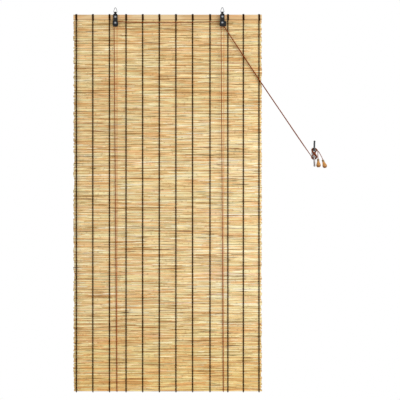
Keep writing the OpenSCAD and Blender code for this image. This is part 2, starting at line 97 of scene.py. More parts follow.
# How finely the cords are made: sides of a section, stations of a long run, and their gap in millimetres
CORD_SIDES, RUN_STATIONS, CORD_GAP = 10, 160, 1.3

# The braid's length for one turn, and its strands each way
BRAID_PITCH, BRAID_STRANDS = 4.4 * MM, 4

# Half the mat's thickness, and the reeds' joints as shares of a reed's length, with their swelling
REED_HALF = 2.65 * MM
JOINTS, JOINT_REACH, JOINT_WIDTH, JOINT_SWELL = 3, 0.006, 0.0035, 0.09

# The first reed's middle below the mat's top, and a reed's hollow end: its depth and shares of the radius
HEAD_GAP, HOLLOW_DEPTH = 0.2 * MM, 2.5 * MM
HOLLOW_SHARE, RIM_SHARE = 0.55, 0.66

# The twine: one turn of a yarn and of the plies, their reach across and outward, sink and pinch on the mat
YARN_PITCH, TWIST_PITCH = 1.6 * MM, 10.5 * MM
TWIST_ACROSS, TWIST_OUT = 0.85 * MM, 0.5 * MM
TWINE_SINK, TWINE_PINCH, TWINE_TOP_GAP = 0.5 * MM, 1.0 * MM, 1.2 * MM
TWINE_STATIONS = 7

# The twine's turns round the batten, and the knot below the mat
WINDING_R, WINDING_STEP, WINDING_GAP, WINDING_TURNS = 1.02 * MM, 1.9 * MM, 0.1 * MM, 3
KNOT_SIZE, KNOT_R, KNOT_RISE = np.array((0.5, 0.45, 0.4)) * MM, 0.75 * MM, 1.8 * MM

# Reed colours on screen, from 0 to 255: the ramp from dark to pale stems, then what lies over it
REED_TONES = (
    (0.1, (154, 112, 54)), (0.24, (203, 165, 102)), (0.38, (228, 195, 135)), (0.5, (242, 214, 156)),
    (0.62, (247, 226, 172)), (0.76, (252, 240, 198)), (0.92, (255, 249, 225)),
)
AMBER, GREEN, FIBRE = (226, 163, 100), (232, 224, 168), (186, 142, 86)
# The last colour on the next line is painted shade for the grooves between stems
STREAK, DARK, GROOVE_SHADE = (152, 100, 38), (80, 50, 16), (118, 78, 24)
# The last colour on the next line is painted shade inside the reeds' hollow ends
CORD_BEHIND, JOINT, HOLLOW_SHADE = (200, 112, 44), (132, 88, 44), (120, 92, 58)
FOOT_TINT = (0.97, 0.91, 0.74)

# Metal colours on screen, and where the cleat's lower colour fades in, measured down from its middle; the
# cleat's pale lower colour and its dark upper colour are painted reflections
STEEL, ZINC, CLEAT_LOWER_REFLECTION = (128, 130, 133), (132, 133, 137), (134, 128, 126)
CLEAT_REFLECTION_FADE = (-16 * MM, 4 * MM)

# The point that the camera faces, the lamps' sizes, places and aims, and the floor
VIEW_X, VIEW_Y, VIEW_Z = 0.2691, 0.006, -0.6102
LAMPS = (
    ("key", 1.8, (1.75, -1.75, -0.15), (0.3, 0, -0.65)),
    ("fill", 2.4, (-2.2, -2.2, -0.2), (0.2, 0, -0.6)),
)
FLOOR_DROP, FLOOR_HALF_X, FLOOR_HALF_Y = 0.25, 1.7, 1.15

# The free cords' routes from the lock to the pulls, as steps from the middle of the cleat in millimetres
LEFT_ROUTE = [
    (-285.4, 0, 403.1), (-233.4, 1.1, 323), (-166.9, 2.5, 223), (-98.9, 3.9, 123), (-32, 5.2, 25),
    (-12.4, 5.7, -2.4), (-9.2, 5.8, -7.3),
    (-5.7, 6, -12.9), (-1.1, 6.2, -16), (3.7, 4.6, -14.8), (6.7, 1.2, -11.2),
    (7.3, -2.4, -7.2), (6, -6, -3.6), (2.8, -7.1, -0.4), (-1, -7.1, 3), (-4.4, -7, 6.2),
    (-7.2, -3.8, 9.2), (-6.4, 0.2, 12.6), (-2.8, 2.8, 15.4), (2, 2.9, 15.4), (5.9, 0.6, 12.8),
    (7.3, -3.2, 9.2), (5.6, -7.6, 6.2), (2.2, -9.8, 2.6), (-1.8, -9.8, -1.6), (-5.6, -8.8, -5.4),
    (-8.6, -5.8, -9.4), (-8.2, -2, -13.8), (-4.2, 0.4, -17.2), (1.2, 0.4, -18), (6, -1.4, -15.6),
    (8.8, -4.8, -11.4), (7.4, -9, -7), (3.8, -11.8, -2.8), (-0.6, -12.5, 1.8), (-5, -11, 6.2),
    (-8.6, -7.2, 10.2), (-7.8, -2.8, 14.4), (-3.4, 0.2, 17.6), (2.2, 0.6, 18), (7.2, 0, 15.4),
    (10.4, -1, 10.8), (11.6, -2, 5), (11.6, -2.6, -2), (11.7, -3, -9), (12.2, -3, -16.6),
]
RIGHT_ROUTE = [
    (-285.4, -5.4, 403.1), (-232.8, -3.8, 323.4), (-166.3, -1.8, 223.4), (-98.3, 0.2, 123.4),
    (-31.4, 2.2, 25.4), (-12.4, 3, -2.4), (-9.2, 3.2, -7.3),
    (-5.7, 3.4, -12.9), (-1.1, 3.6, -16), (3.7, 1.6, -14.8), (6.5, -1.8, -11.6),
    (6.3, -5.5, -8.4), (3.4, -7.1, -5.4), (0, -7.1, -2), (-3.6, -7.1, 1.2), (-6.8, -5, 4.6),
    (-7.3, -1, 8.2), (-6.4, 3, 11.8), (-3.4, 5.4, 14.8), (1.2, 5.8, 15.6), (5.8, 5, 13.8),
    (10, 3.8, 10.8), (13.8, 2.4, 7), (17, 1, 2.6), (19.8, 0, -2.4), (22.5, -1.2, -7.8),
    (25, -2.2, -13.4), (27, -3, -19.6),
]


class ReedSettings(bpy.types.PropertyGroup):
    """Sizes and colours of the reeds and of the weave that holds them"""
    count: IntProperty(name="Reeds", description="Number of reeds, two to a bundle", default=232, min=2)
    diameter: FloatProperty(name="Diameter", description="Mean diameter of a reed",
                            default=0.006, unit="LENGTH")
    spread: FloatProperty(name="Spread", description="How much reeds differ in diameter, as a share",
                          default=0.07, subtype="FACTOR")
    closing: FloatProperty(name="Closing", description="How far the two reeds of a bundle close up",
                           default=0.00006, unit="LENGTH")
    sway: FloatProperty(name="Sway", description="How far a reed strays from a straight line",
                        default=0.00022, unit="LENGTH")
    ragged: FloatProperty(name="Ragged ends", description="How far reed ends differ at the mat's sides",
                          default=0.003, unit="LENGTH")
    twine: FloatVectorProperty(name="Twine", description="Colour of the weave twine", subtype="COLOR",
                               default=(0.040, 0.014, 0.002))
    ply: FloatProperty(name="Ply", description="Radius of one of the twine's two plies",
                       default=0.00128, unit="LENGTH")


class CordSettings(bpy.types.PropertyGroup):
    """Sizes and colours of the lift and pull cords"""
    diameter: FloatProperty(name="Diameter", description="Diameter of the cord",
                            default=0.0024, unit="LENGTH")
    colour: FloatVectorProperty(name="Colour", description="Colour of the cord", subtype="COLOR",
                                default=(0.310, 0.070, 0.011))
    shade: FloatVectorProperty(name="Shade", description="Colour between the cord's strands",
                               subtype="COLOR", default=(0.150, 0.028, 0.005))


class FinishSettings(bpy.types.PropertyGroup):
    """Colours of the wood and metal pieces"""
    batten: FloatVectorProperty(name="Batten", description="Colour of the batten's wood", subtype="COLOR",
                                default=(0.66, 0.43, 0.205))
    pull: FloatVectorProperty(name="Pull", description="Colour of the pulls' wood", subtype="COLOR",
                              default=(0.55, 0.25, 0.055))
    strap: FloatVectorProperty(name="Strap", description="Colour of the hangers' black paint",
                               subtype="COLOR", default=(0.009, 0.009, 0.010))
    # The cleat colour is the dark of its upper part, a painted dark reflection
    cleat: FloatVectorProperty(name="Cleat", description="Colour of the cleat's metal", subtype="COLOR",
                               default=(0.055, 0.060, 0.062))


class StageSettings(bpy.types.PropertyGroup):
    """Camera, light and floor"""
    distance: FloatProperty(name="Distance", description="Distance of the camera from the mat",
                            default=3.539, unit="LENGTH")
    lens: FloatProperty(name="Lens", description="Focal length in millimetres", default=100.0)
    ambient: FloatProperty(name="Ambient", description="Strength of the even light", default=0.66)
    key: FloatProperty(name="Key", description="Power of the main lamp", default=32.0, unit="POWER")
    fill: FloatProperty(name="Fill", description="Power of the fill lamp", default=12.0, unit="POWER")


class Wire:
    """One output socket; arithmetic on it adds Math nodes to its tree."""

    def __init__(self, sheet, socket):
        self.sheet, self.socket = sheet, socket

    def math(self, operation, *values):
        return self.sheet.node("Math", {"operation": operation}, dict(enumerate(values)))

    def __add__(self, other):
        return self.math("ADD", self, other)

    def __sub__(self, other):
        return self.math("SUBTRACT", self, other)

    def __rsub__(self, other):
        return self.math("SUBTRACT", other, self)

    def __mul__(self, other):
        return self.math("MULTIPLY", self, other)

    __radd__, __rmul__ = __add__, __mul__

    def clamp(self, low, high):
        """Rises from 0 at low to 1 at high along an S."""
        return self.sheet.node("MapRange", {"interpolation_type": "SMOOTHSTEP"},
                               {"Value": self, "From Min": low, "From Max": high})

    def sine(self):
        return self.math("SINE", self)

    def size(self):
        return self.math("ABSOLUTE", self)

    def floor(self):
        return self.math("FLOOR", self)


class Finish:
    """A material under construction."""

    def __init__(self, name):
        self.material = bpy.data.materials.new(name)
        self.material.use_nodes = True
        self.tree = self.material.node_tree
        self.shader = self.tree.nodes["Principled BSDF"]

    def node(self, kind, settings=None, inputs=None, out=0):
        """Adds a node, applies its settings, then sets or links its sockets; gives one output."""
        made = self.tree.nodes.new("ShaderNode" + kind)
        for key, value in (settings or {}).items():
            if key == "stops":
                ramp = made.color_ramp.elements
                for place, _ in value[1:-1]:
                    ramp.new(place)
                for element, (place, colour) in zip(ramp, value):
                    element.position, element.color = place, (*colour, 1.0)
            else:
                setattr(made, key, value)
        for key, value in (inputs or {}).items():
            self.put(made.inputs[key], value)
        return Wire(self, made.outputs[out])

    def put(self, socket, value):
        if isinstance(value, Wire):
            self.tree.links.new(value.socket, socket)
        elif hasattr(value, "__len__") and socket.type == "RGBA":
            socket.default_value = (*value[:3], 1.0)
        else:
            socket.default_value = value

    def set(self, **sockets):
        """Sets or links the shader's sockets, named with underscores for spaces."""
        for key, value in sockets.items():
            self.put(self.shader.inputs[key.replace("_", " ")], value)
        return self

    def place(self):
        """Object coordinates."""
        return self.node("TexCoord", None, None, "Object")

    def axes(self, vector):
        """The three parts of a vector."""
        first = self.node("SeparateXYZ", None, {0: vector})
        return first, Wire(self, first.socket.node.outputs[1]), Wire(self, first.socket.node.outputs[2])

    def noise(self, stretch, detail=2.0, seed=0.0, own=None):
        """Noise on Object coordinates, with so many waves a metre along each axis.

        A value of its own for each stem gives each another part of the noise.
        """
        moved = self.node("Mapping", None, {"Vector": self.place(), "Scale": stretch,
                                            "Location": (seed, seed * 0.7, seed * 1.3)})
        inputs = {"Vector": moved, "Scale": 1.0, "Detail": detail}
        if own is None:
            return self.node("TexNoise", None, inputs, "Fac")
        return self.node("TexNoise", {"noise_dimensions": "4D"}, {**inputs, "W": own}, "Fac")

    def mark(self, name):
        """A value stored on the mesh."""
        return self.node("Attribute", {"attribute_name": name}, None, "Fac")

    def lengths(self, place, own):
        """A random value for each whole step of a place, different for each own."""
        cell = self.node("CombineXYZ", None, {0: place.floor(), 1: own})
        return self.node("TexWhiteNoise", {"noise_dimensions": "2D"}, {"Vector": cell}, "Value")

    def ramp(self, value, stops):
        return self.node("ValToRGB", {"stops": stops}, {"Fac": value})

    def mix(self, share, a, b, blend="MIX"):
        """Mixes two colours."""
        made = self.node("Mix", {"data_type": "RGBA", "blend_type": blend}).socket.node
        for socket, value in zip((made.inputs[0], made.inputs[6], made.inputs[7]), (share, a, b)):
            self.put(socket, value)
        return Wire(self, made.outputs[2])

    def bump(self, height, depth, strength=1.0):
        """A normal from a height between 0 and 1 that stands for so many metres."""
        return self.node("Bump", None, {"Height": height, "Distance": depth, "Strength": strength})


def linear(r, g, b):
    """A screen colour from 0 to 255 as the linear colour that shows it."""
    c = np.array((r, g, b)) / 255.0
    return tuple(float(v) for v in np.where(c <= 0.04045, c / 12.92, ((c + 0.055) / 1.055) ** 2.4))


def unit(v):
    return v / np.linalg.norm(v, axis=-1, keepdims=True)


def tube_faces(points, start):
    """Quads and end caps of tubes of one grid, given as tube, row, column and axis."""
    count, rows, cols = points.shape[:3]
    i, k = np.meshgrid(np.arange(rows - 1), np.arange(cols), indexing="ij")
    nxt = (k + 1) % cols
    quads = np.stack((i * cols + k, i * cols + nxt, (i + 1) * cols + nxt, (i + 1) * cols + k), axis=-1)
    first = start + rows * cols * np.arange(count)
    quads = quads.reshape(1, -1, 4) + first[:, None, None]
    ring = np.arange(cols)
    caps = np.stack((first[:, None] + ring[::-1], first[:, None] + (rows - 1) * cols + ring), axis=1)
    return quads.reshape(-1, 4), caps.reshape(-1, cols)


def tube_lay(run, cols):
    """Corner coordinates of the quads: distance along the tube, and share of a turn round it."""
    u = np.stack((run[:, :-1], run[:, :-1], run[:, 1:], run[:, 1:]), axis=-1)[:, :, None, :]
    k = np.arange(cols)[:, None]
    v = (k + np.array((0, 1, 1, 0))) / cols
    return np.stack(np.broadcast_arrays(u, v[None, None]), axis=-1).reshape(-1, 2)


def piece(name, tubes, finish, marks=None):
    """Makes one object on the blind's body from tubes, each an array of points and its run."""
    quads, caps, lay, start = [], [], [], 0
    for points, run in tubes:
        some, ends = tube_faces(points, start)
        quads.append(some)
        caps += ends.tolist()
        lay.append(tube_lay(run, points.shape[2]))
        start += points[..., 0].size
    mesh = bpy.data.meshes.new(name)
    corners = np.concatenate([p.reshape(-1, 3) for p, _ in tubes])
    mesh.from_pydata(corners.tolist(), [], np.concatenate(quads).tolist() + caps)
    mesh.polygons.foreach_set("use_smooth", np.ones(len(mesh.polygons), dtype=bool))
    lay = np.concatenate(lay)
    flat = np.zeros((len(mesh.loops), 2), dtype=np.float32)
    flat[:len(lay)] = lay
    mesh.uv_layers.new(name="lay").data.foreach_set("uv", flat.ravel())
    for key, values in (marks or {}).items():
        mesh.attributes.new(key, "FLOAT", "POINT").data.foreach_set(
            "value", np.asarray(values, dtype=np.float32).ravel())
    mesh.update()
    made = bpy.data.objects.new(name, mesh)
    bpy.context.scene.collection.objects.link(made)
    mesh.materials.append(finish.material)
    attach(made, "blind")
    return made


def run_along(path):
    """Distance along a path at each of its stations."""
    return np.concatenate(((0.0,), np.cumsum(np.linalg.norm(np.diff(path, axis=0), axis=1))))


def ringed(path, radii, side, other, sides):
    """Rings p + r (cos a side + sin a other) at the stations of a path, as one tube with its run."""
    a = 2 * np.pi * np.arange(sides) / sides
    ring = np.cos(a)[:, None] * side[:, None, :] + np.sin(a)[:, None] * other[:, None, :]
    points = path[:, None, :] + np.broadcast_to(radii, len(path))[:, None, None] * ring
    return points[None], run_along(path)[None]


def tube_along(path, radii, sides):
    """A round section carried along a path.

    The side direction at a station is the one before it with its part along the path taken out,
    so that the tube doesn't twist.
    """
    step = unit(np.diff(path, axis=0))
    along = unit(np.vstack((step[:1], step[:-1] + step[1:], step[-1:])))
    side = np.empty_like(along)
    last = np.array((0.6, 0.7, 0.2))
    for i, t in enumerate(along):
        last = unit(last - (last @ t) * t)
        side[i] = last
    return ringed(path, radii, side, np.cross(along, side), sides)


def smooth_path(points, gap):
    """A curve through the points, with stations about a gap apart.

    Each stretch is the cubic p + t m + t2 (3 d - 2 m - n) + t3 (m + n - 2 d), where d is the stretch
    and m and n are the slopes at its ends, each the mean of the two stretches that meet there,
    weighted by the other's length.
    """
    p = np.asarray(points, dtype=float)
    d = np.diff(p, axis=0)
    h = np.linalg.norm(d, axis=1)[:, None]
    inner = (d[:-1] / h[:-1] * h[1:] + d[1:] / h[1:] * h[:-1]) / (h[:-1] + h[1:])
    slope = np.vstack(((d / h)[:1], inner, (d / h)[-1:]))
    counts = np.maximum(2, np.ceil(h[:, 0] / gap)).astype(int)
    which = np.repeat(np.arange(len(d)), counts)
    t = (np.arange(counts.sum()) - np.repeat(np.cumsum(counts) - counts, counts)) / counts[which]
    t = t[:, None]
    m, n, dd = slope[which] * h[which], slope[which + 1] * h[which], d[which]
    curve = p[which] + t * m + t**2 * (3 * dd - 2 * m - n) + t**3 * (m + n - 2 * dd)
    return np.vstack((curve, p[-1:]))


def bend(x, z, radius, y, start, stop, count):
    """Stations (x + r cos a, y, z + r sin a) between two angles in degrees, in millimetres."""
    a = np.radians(np.linspace(start, stop, count))
    return np.stack((x + radius * np.cos(a), np.full(count, y), z + radius * np.sin(a)), 1)


def over_sheave(x, y, start, stop, count):
    """Stations of a cord in a sheave's groove."""
    return bend(x, SHEAVE_Z, PITCH_R, y, start, stop, count)


def past_cam(y):
    """Stations of a cord that drops from its sheave and bends away below the cam."""
    return bend(CAM_X, CAM_Z, CAM_TURN_R, y, 180, 213, 6)


def line(a, b, count):
    """Stations of a straight stretch, without its last point."""
    share = np.linspace(0, 1, count, endpoint=False)[:, None]
    return np.asarray(a, float) * (1 - share) + np.asarray(b, float) * share


def lift_path(hanger_x, foot_x, sheave_y):
    """Stations from the knot at the staple down the back, round the lowest reed and up over the sheave.

    The turn round the reed is (x, y + r cos a, z + r sin a) for angles from 0 to -180 degrees.
    """
    x = hanger_x + STAPLE_X
    knot = np.array([(x, KNOT_Y, STAPLE_Z + step) for step in KNOT_STEPS])
    held = np.array([(x, STAPLE_Y, STAPLE_Z + step) for step in HELD_STEPS])
    a = np.radians(np.linspace(0, -180, 19))
    turn = np.stack((np.full_like(a, foot_x), MAT_Y + TURN_R * np.cos(a),
                     LAST_REED_Z + TURN_R * np.sin(a)), 1)
    start = over_sheave(hanger_x, sheave_y, 180, 90, 10)
    return np.vstack((knot, held, line(held[-1], turn[0], RUN_STATIONS)[1:], turn,
                      line(turn[-1], start[0], RUN_STATIONS)[1:], start))


def cord_finish(settings):
    """Braided cord: two sets of strands wind opposite ways, so the relief is the product of two sines; the
    shade colour in the relief's low parts is painted shade between the strands.
    """
    made = Finish("braided_cord")
    along, around, _ = made.axes(made.node("UVMap", {"uv_map": "lay"}))
    run, turn = along * (2 * math.pi / BRAID_PITCH), around * (2 * math.pi * BRAID_STRANDS)
    relief = (run + turn).sine() * (run - turn).sine() * 0.5 + 0.5
    worn = made.noise((60, 60, 60), 3, 2.0)
    # Painted shade: the relief's low parts, between the strands, take the shade colour
    base = made.mix(relief, tuple(settings.shade), tuple(settings.colour))
    colour = made.mix(worn.clamp(0.45, 0.8) * 0.3, base, linear(152, 92, 56))
    made.set(Base_Color=colour, Roughness=0.85, Specular_IOR_Level=0.08)
    return made.set(Normal=made.bump(relief, 0.00035, 0.8))


def floor_finish():
    """Pale matt floor with a faint mottle."""
    made = Finish("pale_floor")
    mottle = made.noise((3.0, 3.0, 3.0), 2.0, 1.0)
    return made.set(Base_Color=made.mix(mottle, (0.84, 0.84, 0.83), (0.88, 0.88, 0.87)), Roughness=0.9)


class BLIND_OT_stage(bpy.types.Operator):
    """Set up the camera, the lamps, the even light and the floor"""
    bl_idname = "blind.stage"
    bl_label = "Stage"

    def execute(self, context):
        scene, settings = context.scene, context.scene.blind_stage
        scene.view_settings.view_transform = "Standard"
        eye = bpy.data.cameras.new("camera")
        eye.lens, eye.sensor_width, eye.clip_end = settings.lens, 36.0, 50.0
        camera = bpy.data.objects.new("camera", eye)
        camera.location = (VIEW_X, VIEW_Y - settings.distance, VIEW_Z)
        camera.rotation_euler = (math.pi / 2, 0, 0)
        scene.collection.objects.link(camera)
        scene.camera = camera
        for name, size, place, aim in LAMPS:
            self.lamp(scene, name, getattr(settings, name), size, place, aim)
        self.sky(scene, settings.ambient)
        self.floor(scene)
        return {"FINISHED"}

    def lamp(self, scene, name, power, size, place, aim):
        """A square lamp that looks at a point."""
        light = bpy.data.lights.new(name, "AREA")
        light.energy, light.size = power, size
        lamp = bpy.data.objects.new(name, light)
        lamp.location = place
        lamp.visible_camera = False
        away = np.array(aim) - np.array(place)
        lamp.rotation_euler = (math.atan2(math.hypot(away[0], away[1]), -away[2]), 0,
                               math.atan2(away[1], away[0]) - math.pi / 2)
        scene.collection.objects.link(lamp)

    def sky(self, scene, ambient):
        """White to the camera and in reflections, and an even pale light elsewhere."""
        world = bpy.data.worlds.new("sky")
        world.use_nodes = True
        scene.world = world
        nodes, links = world.node_tree.nodes, world.node_tree.links
        even = nodes["Background"]
        even.inputs["Color"].default_value = (1, 1, 1, 1)
        even.inputs["Strength"].default_value = ambient
        white, rays, mix = (nodes.new(n) for n in (
            "ShaderNodeBackground", "ShaderNodeLightPath", "ShaderNodeMixShader"))
        white.inputs["Color"].default_value = (1, 1, 1, 1)
        white.inputs["Strength"].default_value = 1.0
        seen = rays.outputs["Is Camera Ray"]
        for other in ("Is Glossy Ray", "Is Transmission Ray"):
            most = nodes.new("ShaderNodeMath")
            most.operation = "MAXIMUM"
            links.new(seen, most.inputs[0])
            links.new(rays.outputs[other], most.inputs[1])
            seen = most.outputs[0]
        links.new(seen, mix.inputs[0])
        links.new(even.outputs[0], mix.inputs[1])
        links.new(white.outputs[0], mix.inputs[2])
        links.new(mix.outputs[0], nodes["World Output"].inputs["Surface"])

    def floor(self, scene):
        """A flat rectangle below the blind, as a grid of two parameters."""
        middle, low = (CAD_BOX[0][0] + CAD_BOX[1][0]) / 2, CAD_BOX[0][2] - FLOOR_DROP
        u, v = np.meshgrid((middle - FLOOR_HALF_X, middle + FLOOR_HALF_X), (-FLOOR_HALF_Y, FLOOR_HALF_Y),
                           indexing="ij")
        points = np.stack((u, v, np.full_like(u, low)), axis=-1).reshape(-1, 3)
        mesh = bpy.data.meshes.new("floor")
        mesh.from_pydata(points.tolist(), [], [(0, 2, 3, 1)])
        made = floor_finish()
        mesh.materials.append(made.material)
        floor = bpy.data.objects.new("floor", mesh)
        scene.collection.objects.link(floor)


class BLIND_OT_cords(bpy.types.Operator):
    """Lay the free cords round the cleat to the pulls, and the lift cords round the mat to the lock"""
    bl_idname = "blind.cords"
    bl_label = "Cords"

    def execute(self, context):
        settings = context.scene.blind_cord
        finish = cord_finish(settings)
        for side, route in (("left", LEFT_ROUTE), ("right", RIGHT_ROUTE)):
            self.free_cord(side, route, settings, finish)
        share = np.linspace(0, 1, 62)[1:-1]
        across = np.stack((LEFT_X + share * (RIGHT_X - LEFT_X), np.full_like(share, REAR_Y),
                           SHEAVE_Z + PITCH_R - 4 * CROSS_SAG * share * (1 - share)), 1)
        left = (lift_path(LEFT_X, LEFT_X + LEFT_FOOT, REAR_Y), across,
                over_sheave(RIGHT_X, REAR_Y, 90, 0, 12), past_cam(REAR_Y), CLEAT + LEFT_ROUTE[0])
        right = (lift_path(RIGHT_X, RIGHT_X + RIGHT_FOOT, FRONT_Y),
                 over_sheave(RIGHT_X, FRONT_Y, 82, 0, 11), past_cam(FRONT_Y), CLEAT + RIGHT_ROUTE[0])
        self.lift_cord("left", left, settings, finish)
        self.lift_cord("right", right, settings, finish)
        return {"FINISHED"}

    def free_cord(self, side, route, settings, finish):
        """A cord from the lock round the cleat and through its pull to a knot."""
        points = CLEAT + np.array(route, dtype=float)
        hang = unit(points[-1] - points[-2])
        recess = PULL_H - PULL_RECESS
        stops = np.concatenate((recess + np.array(RECESS_STEPS), PULL_H + np.array(FOOT_STEPS)))
        free = smooth_path(points, CORD_GAP)
        path = np.vstack((free, points[-1] + stops[:, None] * hang)) * MM
        radii = settings.diameter / 2 * np.concatenate((np.ones(len(free)), PULL_KNOT_SHARES))
        made = piece(f"{side}_pull_rope", [tube_along(path, radii, CORD_SIDES)], finish)
        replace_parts(made, f"{side}_pull_cord")

    def lift_cord(self, side, stretches, settings, finish):
        """A cord from its knot behind the batten to the lock."""
        path = np.vstack(stretches) * MM
        radii = np.full(len(path), settings.diameter / 2)
        radii[:len(KNOT_RADII)] = np.array(KNOT_RADII) * MM
        made = piece(f"{side}_lift_rope", [tube_along(path, radii, CORD_SIDES)], finish)
        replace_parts(made, f"{side}_lift_cord")


def reed_tone(made, x, depth, own, drift):
    """Straw colour: lengths of a stem differ, the mat is browner at the foot, painted light makes it paler
    at the right, and painted shade darkens its top.
    """
    fine = made.noise((11.0, 120.0, 330.0), 2.0, 11.4, own)
    part = made.lengths(x * 15.0 + own * 3.7 + drift * 5.0, own)
    # Painted light: stems over the right of the mat are made paler, from about 0.3 m down to about 1.1 m
    painted_light = x.clamp(0.2, 0.36) * depth.clamp(0.3, 0.55) * (1.0 - depth.clamp(1.0, 1.15))
    # Painted shade: top darkens the upper stems; foot makes the lowest stems browner
    top, foot = 1.0 - depth.clamp(0.22, 0.42), depth.clamp(0.92, 1.2)
    value = made.mark("tone") * 0.16 + part * 0.5 + drift.clamp(0.34, 0.66) * 0.25
    value = value + fine.clamp(0.36, 0.64) * 0.23 + painted_light * 0.08 - top * 0.06 - 0.045
    colour = made.ramp(value, [(place, linear(*tone)) for place, tone in REED_TONES])
    hue = made.lengths(x * 12.0 + own * 2.9 + drift * 4.0, own + 90.0)
    blush = made.noise((6.0, 9.0, 60.0), 2.0, 8.4)
    colour = made.mix((hue + blush * 0.8).clamp(0.9, 1.3) * (foot * 0.2 + 0.55), colour, linear(*AMBER))
    green = made.noise((6.0, 9.0, 50.0), 2.0, 21.5)
    colour = made.mix((1.0 - hue + green * 0.8).clamp(0.95, 1.35) * 0.5, colour, linear(*GREEN))
    return made.mix(foot, colour, FOOT_TINT, "MULTIPLY")


def cord_behind(x, z, hanger_x, foot_step):
    """Share of a lift cord's colour that shows through the mat, most on the line of its run behind it."""
    drop = (STAPLE_Z - LAST_REED_Z) * MM
    lean = (foot_step - STAPLE_X) * MM / drop
    off = (x - ((STAPLE_Z * MM - z) * lean + (hanger_x + STAPLE_X) * MM)).size()
    return (1.0 - off.clamp(0.0008, 0.0024)) * 0.45


def reed_finish():
    """Dry reed: each stem's tone drifts along it, with brown sheath streaks and painted shade along the
    grooves between stems.

    A lift cord's run behind the mat shows faintly through the stems in front of it.
    """
    made = Finish("reed_stem")
    x, _, z = made.axes(made.place())
    own = made.mark("own") * 40.0 + made.mark("rim").clamp(-0.02, 0.02) * 17.3
    slow = made.noise((8.0, 25.0, 45.0), 2.0, 3.1, own)
    quick = made.noise((26.0, 60.0, 150.0), 2.0, 7.9, own)
    drift = slow * 0.6 + quick * 0.4
    fibre = made.noise((14.0, 900.0, 900.0), 3.0, 1.3, own)
    streak = made.noise((9.0, 260.0, 300.0), 2.0, 5.7, own)
    dark = made.noise((11.0, 200.0, 330.0), 2.0, 14.2, own)
    broken = made.lengths(x * 19.0 + own * 5.3 + drift * 4.0, own + 60.0)
    # Painted shade: a stem darkens where its surface faces up or down into the groove beside its neighbour,
    # in randomly broken lengths
    edge = made.mark("rim").size().clamp(0.35, 0.95) * broken.clamp(0.45, 0.6)
    colour = reed_tone(made, x, z * -1.0, own, drift)
    for share, over in (
        (fibre.clamp(0.55, 0.75) * 0.4, FIBRE),
        (streak.clamp(0.58, 0.66) * 0.8, STREAK),
        (dark.clamp(0.63, 0.69) * 0.9, DARK),
        # painted shade in the grooves between stems
        (edge * 0.82, GROOVE_SHADE),
        (cord_behind(x, z, LEFT_X, LEFT_FOOT), CORD_BEHIND),
        (cord_behind(x, z, RIGHT_X, RIGHT_FOOT), CORD_BEHIND),
        (made.mark("joint") * 0.35, JOINT),
        # painted shade inside a reed's hollow end, deepest at its bottom and faint on the flat rim
        (made.mark("hollow"), HOLLOW_SHADE),
    ):
        colour = made.mix(share, colour, linear(*over))
    return made.set(Base_Color=colour, Roughness=0.5 + fibre * 0.25, Specular_IOR_Level=0.3,
                    Normal=made.bump(fibre, 0.00025, 0.5))


